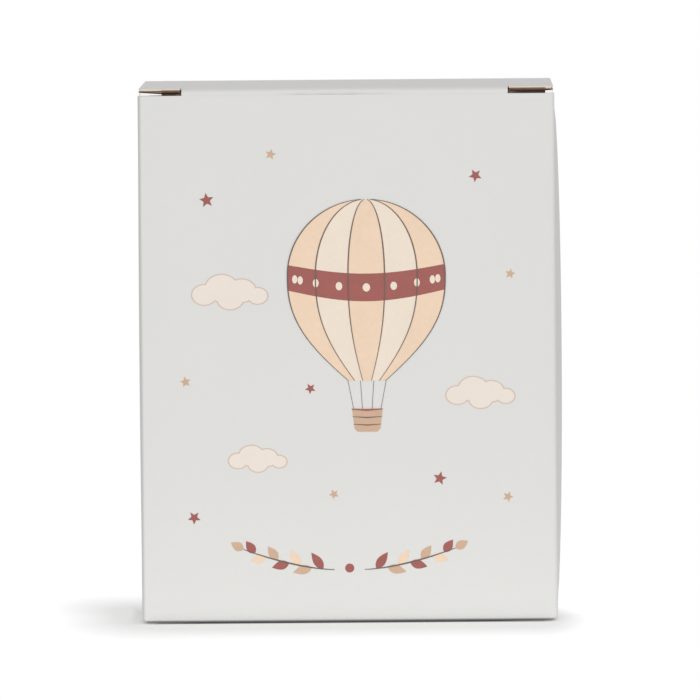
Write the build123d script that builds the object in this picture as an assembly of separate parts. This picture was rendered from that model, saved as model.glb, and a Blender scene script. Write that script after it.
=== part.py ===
from build123d import *

import os
from math import cos, radians, sin, tan

os.makedirs("parts", exist_ok=True)

# A tuck-top carton of thin corrugated board, with a board insert and a tooth-shaped keepsake pot inside.
# Millimetres. The origin is on the floor under the middle of the carton, +Z is up and the front faces -Y.

# Carton
carton_width = 110.0
carton_depth = 72.0
carton_height = 141.5
board = 1.2  # thickness of the board, and the outer radius of each of its bends
side_bulge = 1.9  # how far a side panel swells out at mid height
crease_gap = 0.1  # between the two halves of a bend that hinges
flap_gap = 0.3  # beside a flap that lies against a wall or another flap
bulge_level_shares = (0.0, 0.12, 0.5, 0.88, 1.0)  # of the side panel's height
bulge_shares = (0.0, 0.6, 1.0, 0.6, 0.0)  # of side_bulge at those heights

# Lid
lid_inset = 0.3  # from the outer faces of the walls to the lid's raw edges
lid_gap = 0.66  # under the lid, down to the raw top edge of the front panel
dust_gap = 0.3  # under the lid, down to the dust flaps
slot_length = 10.9  # from the carton's corner to the end of the tuck flap

# Tuck flap
tuck_length = 16.0
tuck_lean = 14.0  # degrees inwards from upright
tuck_taper = 1.5
tuck_corner = 6.0
tuck_clearance = 0.35  # behind the top edge of the front panel
kerf = 0.3  # of the cut between the tuck flap and the lid's corner

# Dust flaps
dust_reach = 30.0
dust_shoulder_gap = 0.4  # from the front wall, beside the tuck flap
dust_setback = 3.4  # from the front wall, behind the tuck flap
dust_back_gap = 2.0  # from the lid's hinge, at the side panel
dust_back_slope = 0.52  # how much that gap grows for each millimetre of reach
dust_corner = 4.0

# Glue flap
glue_width = 15.0
glue_end_gap = 2.0  # from the flaps above and below
glue_taper = 5.0

# Bottom flaps
bottom_inset = 0.5  # from the outer faces of the sides to the long flaps' ends
bottom_taper = 3.0
lock_hook = 6.0  # how far each long flap passes the middle on one half
lock_half_step = 8.0  # half the width of the sloping step between the two halves
bottom_side_reach = 38.0
bottom_side_taper = 6.0

# Insert
platform_height = 45.0  # top face, above the floor
insert_side_gap = 0.3
insert_end_gap = 0.4
cutout_clearance = 2.2  # round the keepsake

# Keepsake pot, with its heights above its own feet
root_half_spread = 21.0  # from the middle to the centre of each foot
root_lean = 6.0  # how far each root moves in on its way up
foot_half_width = 8.5
foot_half_depth = 10.0
root_swell = 8.0  # how much wider a root is at its top, each way
root_height = 40.0
crown_start = 32.0
waist_height = 46.0
rim_height = 74.0
rim_half_width = 43.0
rim_half_depth = 27.0
waist_draw = 6.0  # how far the waist is drawn in from the rim, at each end
waist_draw_deep = 3.5  # the same, at front and back
pot_wall = 4.5
cavity_floor = 44.0
seat_height = 6.0  # of the ring that the cap sits over
seat_ring = 2.2  # thickness of that ring
seat_clearance = 0.35
cap_shoulder = 12.0  # heights above the rim
cap_brow = 21.0
cap_crest = 27.0
shoulder_draw = 1.0  # how far the cap's outline draws in at each height
brow_draw = 5.5
crest_draw = 14.0
cusp_radius = 14.0
cusp_half_spread = 20.0
cusp_half_depth = 9.0
cusp_height = 19.0  # centre of each cusp, above the rim

# Worked out
half_width = carton_width / 2
half_depth = carton_depth / 2
front_top = carton_height - board - lid_gap
dust_top = carton_height - board - dust_gap
half_bend = 45.0  # degrees, where two halves of a square bend meet
hinge_y = half_depth - board + board * sin(radians(half_bend))
lid_half_width = half_width - lid_inset
tuck_half_width = half_width - slot_length
lean_slope = tan(radians(tuck_lean))
tuck_set_in = board + tuck_clearance + board / cos(radians(tuck_lean)) - lid_gap * lean_slope
fold_y = -half_depth + tuck_set_in
fold_turn = 90.0 + tuck_lean
inner_half_width = half_width - board
inner_half_depth = half_depth - board
floor_top = 2 * board
waist_half_width = rim_half_width - waist_draw
waist_half_depth = rim_half_depth - waist_draw_deep
insert_half_width = inner_half_width - insert_side_gap
insert_half_depth = inner_half_depth - board - insert_end_gap


def on_arc(centre, radius, angle):
    across = centre[0] + radius * cos(radians(angle))
    up = centre[1] + radius * sin(radians(angle))
    return across, up


def sector(centre, start, end):
    """Part of a bend's round section, from its inner corner, between two angles in degrees."""
    first = on_arc(centre, board, start)
    middle = on_arc(centre, board, (start + end) / 2)
    last = on_arc(centre, board, end)
    return make_face(Line(centre, first) + ThreePointArc(first, middle, last) + Line(last, centre))


def slab(x, y, z):
    """A box between two places along each axis."""
    corner = Pos(x[0], y[0], z[0])
    return corner * Box(x[1] - x[0], y[1] - y[0], z[1] - z[0], align=(Align.MIN, Align.MIN, Align.MIN))


def along_x(face, start, end):
    """A face drawn in Y and Z, carried from one X to another."""
    across = Plane(origin=(start, 0, 0), x_dir=(0, 1, 0), z_dir=(1, 0, 0))
    return extrude(across * face, amount=end - start, dir=(1, 0, 0))


def along_y(face, start, end):
    """A face drawn in X and Z, carried from one Y to another."""
    across = Plane(origin=(0, start, 0), x_dir=(1, 0, 0), z_dir=(0, -1, 0))
    return extrude(across * face, amount=end - start, dir=(0, 1, 0))


def upwards(face, start, end):
    return extrude(Pos(0, 0, start) * face, amount=end - start, dir=(0, 0, 1))


def upright_wall(side, top):
    """The front wall for side -1 or the back wall for side 1, with the upright bends at both its ends."""
    outer = side * half_depth
    inner = side * inner_half_depth
    wall = slab((-inner_half_width, inner_half_width), sorted((outer, inner)), (board, top))
    for end in (-1, 1):
        outwards = 0.0 if end > 0 else 180.0
        bend = sector((end * inner_half_width, inner), outwards, outwards + side * end * 90.0)
        wall += upwards(bend, board, top)
    return wall


def front_panel():
    return upright_wall(-1, front_top)


def back_panel():
    crease = (inner_half_depth, carton_height - board)
    wall = upright_wall(1, carton_height - board)
    return wall + along_x(sector(crease, 0.0, half_bend), -lid_half_width, lid_half_width)


def bulged_section(bulge):
    """A slice of the right side panel, swollen outwards by the bulge at its middle."""
    outer_ends = ((half_width, -inner_half_depth), (half_width, inner_half_depth))
    inner_ends = ((inner_half_width, -inner_half_depth), (inner_half_width, inner_half_depth))
    if bulge:
        outer = ThreePointArc(outer_ends[0], (half_width + bulge, 0), outer_ends[1])
        inner = ThreePointArc(inner_ends[0], (inner_half_width + bulge, 0), inner_ends[1])
    else:
        outer = Line(*outer_ends)
        inner = Line(*inner_ends)
    near = Line(inner_ends[0], outer_ends[0])
    far = Line(inner_ends[1], outer_ends[1])
    return make_face(near + outer + far + inner)


def right_panel():
    bottom, top = floor_top, dust_top - board
    slices = [
        Pos(0, 0, bottom + level * (top - bottom)) * bulged_section(share * side_bulge)
        for level, share in zip(bulge_level_shares, bulge_shares)
    ]
    bend = sector((inner_half_width, top), 0.0, half_bend)
    return loft(slices) + along_y(bend, -inner_half_depth, inner_half_depth)


def glue_flap():
    left = -inner_half_width
    bottom = floor_top + glue_end_gap
    top = dust_top - board - glue_end_gap
    outline = make_face(
        Polyline(
            (left, bottom),
            (left + glue_width, bottom + glue_taper),
            (left + glue_width, top - glue_taper),
            (left, top),
            (left, bottom),
        )
    )
    return along_y(outline, inner_half_depth - board, inner_half_depth)


def bottom_front_flap():
    half = half_width - bottom_inset
    start = -inner_half_depth
    edge = lock_hook - flap_gap / 2
    back_edge = -lock_hook - flap_gap / 2
    outline = make_face(
        Polyline(
            (-half, start),
            (-half + bottom_taper, edge),
            (-lock_half_step, edge),
            (lock_half_step, back_edge),
            (half - bottom_taper, back_edge),
            (half, start),
            (-half, start),
        )
    )
    bend = along_x(sector((start, board), 180.0, 270.0), -half, half)
    return upwards(outline, 0, board) + bend


def bottom_right_flap():
    half = inner_half_depth - flap_gap
    start = inner_half_width
    end = half_width - bottom_side_reach
    outline = make_face(
        Polyline(
            (start, -half),
            (end, -half + bottom_side_taper),
            (end, half - bottom_side_taper),
            (start, half),
            (start, -half),
        )
    )
    bend = along_y(sector((start, floor_top), 270.0, 360.0), -half, half)
    return upwards(outline, board, floor_top) + bend


def lid_panel():
    under = carton_height - board
    back = inner_half_depth - crease_gap
    plate = slab((-lid_half_width, lid_half_width), (fold_y, back), (under, carton_height))
    plate += along_x(sector((back, under), half_bend, 90.0), -lid_half_width, lid_half_width)
    plate += along_x(sector((fold_y, under), 90.0, 90.0 + fold_turn / 2), -tuck_half_width, tuck_half_width)
    for side in (-1, 1):
        across = sorted((side * (tuck_half_width + kerf), side * lid_half_width))
        plate += slab(across, (-half_depth + lid_inset, fold_y), (under, carton_height))
    return plate


def tuck_flap():
    outward = (0, -cos(radians(tuck_lean)), -sin(radians(tuck_lean)))
    fold = Plane(origin=(0, fold_y, carton_height - board), x_dir=(1, 0, 0), z_dir=outward)
    corners = [
        (-tuck_half_width, -crease_gap),
        (-tuck_half_width + tuck_taper, -tuck_length),
        (tuck_half_width - tuck_taper, -tuck_length),
        (tuck_half_width, -crease_gap),
    ]
    outline = make_face(Polyline(*corners, corners[0]))
    free_corners = outline.vertices().sort_by(Axis.Y)[:2]
    plate = fold * upwards(fillet(free_corners, tuck_corner), 0, board)
    shift = Vector(0, sin(radians(tuck_lean)), -cos(radians(tuck_lean))) * crease_gap
    bend = sector((fold_y, carton_height - board), 90.0 + fold_turn / 2, 90.0 + fold_turn)
    return plate + Pos(*shift) * along_x(bend, -tuck_half_width, tuck_half_width)


def right_dust_flap():
    start = inner_half_width - crease_gap
    end = half_width - dust_reach
    shoulder = tuck_half_width + 2 * kerf
    front_wall = -inner_half_depth
    back_start = hinge_y - dust_back_gap - dust_back_slope * crease_gap
    back_end = hinge_y - dust_back_gap - dust_back_slope * (start - end)
    outline = make_face(
        Polyline(
            (start, front_wall + dust_shoulder_gap),
            (shoulder, front_wall + dust_shoulder_gap),
            (shoulder, front_wall + dust_setback),
            (end, front_wall + dust_setback),
            (end, back_end),
            (start, back_start),
            (start, front_wall + dust_shoulder_gap),
        )
    )
    free_corners = outline.vertices().sort_by(Axis.X)[:2]
    plate = upwards(fillet(free_corners, dust_corner), dust_top - board, dust_top)
    bend = sector((start, dust_top - board), half_bend, 90.0)
    return plate + along_y(bend, front_wall + dust_shoulder_gap, back_start)


def insert_right_leg():
    start = insert_half_width - board
    depth = (-insert_half_depth, insert_half_depth)
    plate = slab((start, insert_half_width), depth, (floor_top, platform_height - board))
    bend = sector((start, platform_height - board), 0.0, 90.0)
    return plate + along_y(bend, *depth)


def insert_platform():
    half = insert_half_width - board
    levels = (platform_height - board, platform_height)
    plate = slab((-half, half), (-insert_half_depth, insert_half_depth), levels)
    hole = Ellipse(waist_half_width + cutout_clearance, waist_half_depth + cutout_clearance)
    return plate - upwards(hole, *levels)


def swelling(levels):
    """A solid through level ellipses, each given by its height, half width and half depth."""
    return loft([Pos(0, 0, height) * Ellipse(wide, deep) for height, wide, deep in levels])


def root(side):
    foot = Ellipse(foot_half_width, foot_half_depth)
    middle = Ellipse(foot_half_width + root_swell / 2, foot_half_depth + root_swell / 2)
    top = Ellipse(foot_half_width + root_swell, foot_half_depth + root_swell)
    middle_x = side * (root_half_spread - root_lean / 3)
    top_x = side * (root_half_spread - root_lean)
    return loft(
        [
            Pos(side * root_half_spread, 0, 0) * foot,
            Pos(middle_x, 0, root_height / 2) * middle,
            Pos(top_x, 0, root_height) * top,
        ]
    )


def keepsake_base():
    crown = swelling(
        [
            (crown_start, foot_half_width + root_half_spread - root_lean, foot_half_depth + root_lean),
            (waist_height, waist_half_width, waist_half_depth),
            (rim_height, rim_half_width, rim_half_depth),
        ]
    )
    seat_wall = pot_wall - seat_ring
    seat = swelling(
        [
            (rim_height - seat_ring, rim_half_width - seat_wall, rim_half_depth - seat_wall),
            (rim_height + seat_height, rim_half_width - seat_wall, rim_half_depth - seat_wall),
        ]
    )
    cavity_middle = (cavity_floor + rim_height) / 2
    cavity = swelling(
        [
            (cavity_floor, waist_half_width - 2 * pot_wall, waist_half_depth - 2 * pot_wall),
            (cavity_middle, waist_half_width - pot_wall / 2, waist_half_depth - pot_wall / 2),
            (rim_height, rim_half_width - pot_wall, rim_half_depth - pot_wall),
        ]
    )
    throat = swelling(
        [
            (rim_height, rim_half_width - pot_wall, rim_half_depth - pot_wall),
            (rim_height + seat_height, rim_half_width - pot_wall, rim_half_depth - pot_wall),
        ]
    )
    return Pos(0, 0, floor_top) * (crown + root(-1) + root(1) + seat - cavity - throat)


def keepsake_cap():
    outside = [
        (rim_height, rim_half_width, rim_half_depth),
        (rim_height + cap_shoulder, rim_half_width - shoulder_draw, rim_half_depth - shoulder_draw),
        (rim_height + cap_brow, rim_half_width - brow_draw, rim_half_depth - brow_draw),
        (rim_height + cap_crest, rim_half_width - crest_draw, rim_half_depth - crest_draw),
    ]
    cap = swelling(outside)
    for side in (-1, 1):
        for end in (-1, 1):
            place = Pos(side * cusp_half_spread, end * cusp_half_depth, rim_height + cusp_height)
            cap += place * Sphere(cusp_radius)
    socket_wall = pot_wall - seat_ring - seat_clearance
    socket_top = rim_height + seat_height + seat_clearance
    socket = swelling(
        [
            (rim_height, rim_half_width - socket_wall, rim_half_depth - socket_wall),
            (socket_top, rim_half_width - socket_wall, rim_half_depth - socket_wall),
        ]
    )
    brow_wall = brow_draw + 2 * pot_wall
    hollow = swelling(
        [
            (socket_top, rim_half_width - pot_wall, rim_half_depth - pot_wall),
            (rim_height + cap_shoulder, rim_half_width - 2 * pot_wall, rim_half_depth - 2 * pot_wall),
            (rim_height + cap_brow, rim_half_width - brow_wall, rim_half_depth - brow_wall),
        ]
    )
    return Pos(0, 0, floor_top) * (cap - socket - hollow)


right = right_panel()
bottom_front = bottom_front_flap()
bottom_right = bottom_right_flap()
dust_right = right_dust_flap()
leg_right = insert_right_leg()
parts = {
    "front_panel": front_panel(),
    "back_panel": back_panel(),
    "left_panel": mirror(right, Plane.YZ),
    "right_panel": right,
    "glue_flap": glue_flap(),
    "bottom_front_flap": bottom_front,
    "bottom_back_flap": Rot(0, 0, 180) * bottom_front,
    "bottom_left_flap": mirror(bottom_right, Plane.YZ),
    "bottom_right_flap": bottom_right,
    "lid_panel": lid_panel(),
    "tuck_flap": tuck_flap(),
    "left_dust_flap": mirror(dust_right, Plane.YZ),
    "right_dust_flap": dust_right,
    "insert_platform": insert_platform(),
    "insert_left_leg": mirror(leg_right, Plane.YZ),
    "insert_right_leg": leg_right,
    "keepsake_base": keepsake_base(),
    "keepsake_cap": keepsake_cap(),
}
for name, part in parts.items():
    export_step(part, f"parts/{name}.step")
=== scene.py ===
from math import ceil, cos, floor, pi, radians, sin

import bmesh
import bpy
from mathutils import Matrix, Vector


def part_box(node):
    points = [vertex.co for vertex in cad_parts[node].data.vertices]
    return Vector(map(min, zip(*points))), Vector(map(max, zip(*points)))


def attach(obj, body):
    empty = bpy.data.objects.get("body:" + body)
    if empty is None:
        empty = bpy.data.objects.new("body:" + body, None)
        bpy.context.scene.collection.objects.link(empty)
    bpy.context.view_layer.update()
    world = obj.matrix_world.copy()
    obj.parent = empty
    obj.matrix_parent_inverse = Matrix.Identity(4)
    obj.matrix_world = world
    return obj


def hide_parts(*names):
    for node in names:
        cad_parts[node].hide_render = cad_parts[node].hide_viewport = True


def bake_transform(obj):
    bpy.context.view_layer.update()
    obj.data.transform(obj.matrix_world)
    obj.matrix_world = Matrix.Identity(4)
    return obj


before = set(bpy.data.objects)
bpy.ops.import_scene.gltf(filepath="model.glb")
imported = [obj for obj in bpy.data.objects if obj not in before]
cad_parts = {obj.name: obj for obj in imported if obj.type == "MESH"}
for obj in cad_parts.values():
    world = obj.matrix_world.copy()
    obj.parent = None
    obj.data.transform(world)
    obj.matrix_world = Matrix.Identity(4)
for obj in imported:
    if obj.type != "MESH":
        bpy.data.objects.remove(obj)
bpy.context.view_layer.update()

# Sizes in metres, with +Z up and the printed front facing -Y.
BOARD = 0.0012
OUTER_LINER = 0.0004
INNER_LINER = 0.0002
MEDIUM = 0.00014
FLUTE_PITCH = 0.0024
FLUTE_STEPS = 8
LAP = 0.001  # how far a bend runs on over the boards beside it
BEND_BOARD = BOARD - 0.00004  # a hair thinner, so that a bend hides inside the boards it laps
HALF_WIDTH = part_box("front_panel")[1][0]
HALF_DEPTH = -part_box("front_panel")[0][1]
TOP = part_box("lid_panel")[1][2]
FRONT_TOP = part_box("front_panel")[1][2]
DUST_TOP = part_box("left_dust_flap")[1][2]
INNER_WIDTH = HALF_WIDTH - BOARD
INNER_DEPTH = HALF_DEPTH - BOARD
FLOOR_TOP = 2 * BOARD

# Walls
CORNER = 0.0024  # radius of a wall's lower corners
WALL_COLUMNS = (-0.72, -0.55, -0.35, -0.18, 0.0, 0.18, 0.35, 0.55, 0.72)  # of half the width
WALL_ROWS = (0.001, 0.003, 0.006, 0.012, 0.03)  # from the top edge and from the bottom bend
BOW = 0.00018  # how far the front's top edge stands out at its middle
BOW_DEPTH, BOW_MIDDLE, BOW_HALF = 0.004, -0.002, 0.022
SIDE_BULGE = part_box("right_panel")[1][0] - HALF_WIDTH
LEFT_BULGE_SHARE = 0.45
BULGE_FLATNESS = 0.55
BULGE_ROWS, BULGE_COLUMNS = 20, 24
GLUE_TAPER = 0.005

# Bottom flaps
BOTTOM_TAPER, BOTTOM_CUT = 0.003, 0.0018
LOCK_HOOK, LOCK_STEP, LOCK_GAP = 0.006, 0.008, 0.00015
SHORT_TAPER = 0.006

# Lid, with its tuck flap between two cuts
LID_HALF_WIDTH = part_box("lid_panel")[1][0]
LID_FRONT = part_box("lid_panel")[0][1]
KERF = 0.0003
TUCK_LEFT, TUCK_RIGHT = -0.0434, 0.0427
TUCK_LENGTH = 0.016
TUCK_LEAN = radians(14.0)
TUCK_TAPER = 0.0015
TUCK_CORNER = 0.006
FOLD_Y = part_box("tuck_flap")[0][1] + BOARD
FOLD_FLUSH = -HALF_DEPTH + 0.00006
RIGHT_TAB_END = LID_HALF_WIDTH - 0.0003
PRESSED_LEFT, PRESSED_RIGHT = -0.0486, 0.0526  # outside these the lid's front corners are pressed
PRESS_RUN, PRESS_SHARE = 0.0006, 0.4

# Dust flaps
DUST_SHOULDER = 0.0447
DUST_SETBACK = 0.0034
DUST_SLOPE = 0.52
DUST_CORNER = 0.004
DUST_LIP = 0.00003  # over the front wall

# Insert and pot
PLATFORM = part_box("insert_platform")[1][2]
INSERT_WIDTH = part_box("insert_platform")[1][0]
INSERT_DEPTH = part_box("insert_platform")[1][1]
HOLE_HALF = (0.0392, 0.0257)
POT_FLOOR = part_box("keepsake_base")[0][2]


# Modelling helpers


def alone(piece):
    bpy.ops.object.select_all(action="DESELECT")
    piece.select_set(True)
    bpy.context.view_layer.objects.active = piece


def named(name):
    """Names the active piece, which is often a primitive that has just been added."""
    piece = bpy.context.active_object
    piece.name = name
    piece.data.name = name
    return piece


def cube(name):
    bpy.ops.mesh.primitive_cube_add(size=1, location=(0, 0, 0))
    return named(name)


def disc(name, corners):
    bpy.ops.mesh.primitive_circle_add(vertices=corners, radius=1, fill_type="NGON", location=(0, 0, 0))
    return named(name)


def select_all():
    bpy.ops.mesh.select_all(action="SELECT")


def edit(piece):
    """Opens a piece in edit mode, with all of it selected."""
    alone(piece)
    bpy.ops.object.mode_set(mode="EDIT")
    bpy.ops.mesh.select_mode(type="VERT")
    select_all()


def leave():
    bpy.ops.object.mode_set(mode="OBJECT")


def shift(value):
    bpy.ops.transform.translate(value=value)


def resize(value, middle=(0, 0, 0)):
    bpy.ops.transform.resize(value=value, center_override=middle)


def extrude(value):
    bpy.ops.mesh.extrude_region_move(TRANSFORM_OT_translate={"value": value})


def bisect(place, normal, **settings):
    """Cuts all of the piece in edit mode along a plane."""
    select_all()
    bpy.ops.mesh.bisect(plane_co=place, plane_no=normal, **settings)


def face_out():
    select_all()
    bpy.ops.mesh.normals_make_consistent(inside=False)


def turn_over(piece):
    edit(piece)
    bpy.ops.mesh.flip_normals()
    leave()


def pick(piece, keep):
    """Selects the vertices whose place passes a test. The piece is in edit mode."""
    mesh = bmesh.from_edit_mesh(piece.data)
    for vertex in mesh.verts:
        vertex.select_set(keep(vertex.co))
    mesh.select_flush_mode()
    mesh.select_flush(True)
    bmesh.update_edit_mesh(piece.data)


def modify(piece, kind, **settings):
    alone(piece)
    bpy.ops.object.modifier_add(type=kind)
    modifier = piece.modifiers[-1]
    for key, value in settings.items():
        setattr(modifier, key, value)
    bpy.ops.object.modifier_apply(modifier=modifier.name)


def thicken(piece, thickness=OUTER_LINER):
    """Gives a liner its thickness, with its second material on the raw edge and its third inside."""
    modify(piece, "SOLIDIFY", thickness=thickness, offset=-1, material_offset=2, material_offset_rim=1)


def combine(first, second, operation):
    modify(first, "BOOLEAN", operation=operation, object=second, solver="EXACT")
    bpy.data.objects.remove(second)


def join(name, pieces):
    alone(pieces[0])
    for piece in pieces:
        piece.select_set(True)
    if len(pieces) > 1:
        bpy.ops.object.join()
    return named(name)


def smooth(piece, degrees=35.0):
    alone(piece)
    bpy.ops.object.shade_smooth_by_angle(angle=radians(degrees))


def paint(piece, *materials):
    piece.data.materials.clear()
    for material in materials:
        piece.data.materials.append(material)


def ribbon(name, ends, columns, profile, outward):
    """A strip along X that follows a profile of Y and Z, its first face turned towards outward."""
    bpy.ops.mesh.primitive_grid_add(x_subdivisions=columns, y_subdivisions=1, size=1, location=(0, 0, 0))
    strip = named(name)
    edit(strip)
    pick(strip, lambda place: place.y > 0)
    bpy.ops.mesh.delete(type="VERT")
    select_all()
    resize((ends[1] - ends[0], 1, 1))
    middle = (ends[0] + ends[1]) / 2
    shift((middle, profile[0][0] + 0.5, profile[0][1]))
    for here, there in zip(profile, profile[1:]):
        extrude((0, there[0] - here[0], there[1] - here[1]))
    face_out()
    leave()
    if strip.data.polygons[0].normal.dot(Vector(outward)) < 0:
        turn_over(strip)
    return strip


def arc(centre, radius, start, end, steps):
    """Points of an arc between two angles in radians."""
    angles = spread(start, end, steps)
    return [(centre[0] + radius * cos(angle), centre[1] + radius * sin(angle)) for angle in angles]


def spread(low, high, count):
    return [low + (high - low) * step / count for step in range(count + 1)]


def trim(piece, outline):
    """Cuts a flat piece to an outline of X and Y that turns left all the way round."""
    edit(piece)
    for here, there in zip(outline, outline[1:] + outline[:1]):
        out = Vector((there[1] - here[1], here[0] - there[0], 0)).normalized()
        bisect((*here, 0), out, clear_outer=True)
    leave()


def board_layers(name, outline, finish, skin=True, rows=1, columns=1):
    """Liners and fluted medium of one stretch of board, face up at Z 0, with the flutes along Y."""
    across = [point[0] for point in outline]
    along = [point[1] for point in outline]
    first = floor(min(across) / FLUTE_PITCH)
    waves = ceil(max(across) / FLUTE_PITCH) - first
    ends = (first * FLUTE_PITCH, (first + waves) * FLUTE_PITCH)
    levels = spread(min(along), max(along), rows)

    def sheet(part, height, count):
        return ribbon(f"{name}_{part}", ends, count, [(level, height) for level in levels], (0, 0, 1))

    layers = []
    if skin:
        outer = sheet("outer", 0, columns)
        trim(outer, outline)
        paint(outer, finish["outer"], finish["edge"], finish["inner"])
        thicken(outer)
        layers.append(outer)
    inner = sheet("inner", -BOARD + INNER_LINER, columns)
    trim(inner, outline)
    paint(inner, finish["inner"])
    modify(inner, "SOLIDIFY", thickness=INNER_LINER, offset=-1)
    layers.append(inner)
    upper = -OUTER_LINER - MEDIUM / 2
    lower = -BOARD + INNER_LINER + MEDIUM / 2
    wave = sheet("medium", (upper + lower) / 2, waves * FLUTE_STEPS)
    edit(wave)
    step_width = FLUTE_PITCH / FLUTE_STEPS
    for step in range(FLUTE_STEPS):
        rise = (upper - lower) / 2 * sin(2 * pi * step / FLUTE_STEPS)
        pick(wave, lambda place: round(place.x / step_width) % FLUTE_STEPS == step)
        shift((0, 0, rise))
    leave()
    trim(wave, outline)
    paint(wave, finish["medium"])
    modify(wave, "SOLIDIFY", thickness=MEDIUM, offset=0)
    smooth(wave, 60.0)
    layers.append(wave)
    return layers


def board(name, outlines, place, finish, skin=True, rows=1, columns=1):
    """A piece of fluted board. Each outline is convex, in the frame that place carries it from."""
    layers = []
    for number, outline in enumerate(outlines):
        layers += board_layers(f"{name}_{number}", outline, finish, skin, rows, columns)
    piece = join(name, layers)
    piece.data.transform(place)
    return piece


def plane_frame(origin, across, along):
    """Carries a flat drawing to a plane: X to across, Y to along, and Z to the outward side."""
    x, y = Vector(across), Vector(along)
    z = x.cross(y)
    matrix = Matrix((x, y, z)).transposed().to_4x4()
    matrix.translation = Vector(origin)
    return matrix


def rectangle(x, y):
    return [(x[0], y[0]), (x[1], y[0]), (x[1], y[1]), (x[0], y[1])]


def mirrored_outline(outline):
    return [(-x, y) for x, y in reversed(outline)]


# Material helpers


def shader(name):
    material = bpy.data.materials.new(name)
    material.use_nodes = True
    return material, material.node_tree, material.node_tree.nodes["Principled BSDF"]


def tune(node, values):
    for key, value in values.items():
        node.inputs[key].default_value = value


def add(tree, kind, values=None, **settings):
    node = tree.nodes.new("ShaderNode" + kind)
    for key, value in settings.items():
        setattr(node, key, value)
    tune(node, values or {})
    return node


def maths(tree, operation, values=None):
    return add(tree, "Math", values, operation=operation)


def vectors(tree, operation, values=None):
    return add(tree, "VectorMath", values, operation=operation)


def wire(tree, *joins):
    """Joins sockets, each given as a node, its output, the next node and its input."""
    for source, output, target, entry in joins:
        tree.links.new(source.outputs[output], target.inputs[entry])


def group(name, inputs, outputs):
    tree = bpy.data.node_groups.new(name, "ShaderNodeTree")
    for label, kind, default in inputs:
        socket = tree.interface.new_socket(name=label, in_out="INPUT", socket_type="NodeSocket" + kind)
        if default is not None:
            socket.default_value = default
    for label, kind in outputs:
        tree.interface.new_socket(name=label, in_out="OUTPUT", socket_type="NodeSocket" + kind)
    return tree, tree.nodes.new("NodeGroupInput"), tree.nodes.new("NodeGroupOutput")


def paper_grain():
    """Uneven colour and a fine raised grain, as of paper fibres."""
    tree, given, result = group(
        "paper_grain",
        [
            ("Place", "Vector", None),
            ("Colour", "Color", (1, 1, 1, 1)),
            ("Fibre scale", "Float", 900.0),
            ("Cloud scale", "Float", 35.0),
            ("Contrast", "Float", 0.03),
        ],
        [("Colour", "Color"), ("Height", "Float")],
    )
    fibres = add(tree, "TexNoise", {"Detail": 3.0, "Roughness": 0.6})
    clouds = add(tree, "TexNoise", {"Detail": 2.0, "Roughness": 0.5})
    both = maths(tree, "ADD")
    centred = maths(tree, "SUBTRACT", {1: 1.0})
    scaled = maths(tree, "MULTIPLY")
    factor = maths(tree, "ADD", {1: 1.0})
    tinted = vectors(tree, "SCALE")
    wire(
        tree,
        (given, "Place", fibres, "Vector"), (given, "Fibre scale", fibres, "Scale"),
        (given, "Place", clouds, "Vector"), (given, "Cloud scale", clouds, "Scale"),
        (fibres, "Fac", both, 0), (clouds, "Fac", both, 1),
        (both, 0, centred, 0), (centred, 0, scaled, 0),
        (given, "Contrast", scaled, 1), (scaled, 0, factor, 0),
        (given, "Colour", tinted, 0), (factor, 0, tinted, "Scale"),
        (tinted, 0, result, "Colour"), (fibres, "Fac", result, "Height"),
    )
    return tree


GRAIN = paper_grain()


def grain_node(tree, colour, contrast, fibre_scale, cloud_scale):
    """The grain group, placed in a material with values of its own."""
    values = {"Colour": (*colour, 1.0), "Contrast": contrast}
    scales = {"Fibre scale": fibre_scale, "Cloud scale": cloud_scale}
    return add(tree, "Group", values | scales, node_tree=GRAIN)


def grained(name, colour, roughness, contrast, fibre_scale=900.0, cloud_scale=35.0, stretch=1.0):
    """A matt paper finish. Stretch draws the fibres out along Z."""
    material, tree, surface = shader(name)
    place = add(tree, "TexCoord")
    turned = add(tree, "Mapping", {"Scale": (1.0, 1.0, 1.0 / stretch)})
    paper = grain_node(tree, colour, contrast, fibre_scale, cloud_scale)
    relief = add(tree, "Bump", {"Strength": 0.5, "Distance": 0.00002})
    wire(
        tree,
        (place, "Object", turned, "Vector"),
        (turned, "Vector", paper, "Place"),
        (paper, "Colour", surface, "Base Color"),
        (paper, "Height", relief, "Height"),
        (relief, "Normal", surface, "Normal"),
    )
    tune(surface, {"Roughness": roughness, "Specular IOR Level": 0.25})
    return material


def ramp(tree, source, low, high, start, end):
    """Maps a value that runs from low to high onto start to end, held at both ends."""
    limits = {"From Min": low, "From Max": high, "To Min": start, "To Max": end}
    node = add(tree, "MapRange", limits)
    tree.links.new(source, node.inputs["Value"])
    return node.outputs["Result"]


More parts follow.
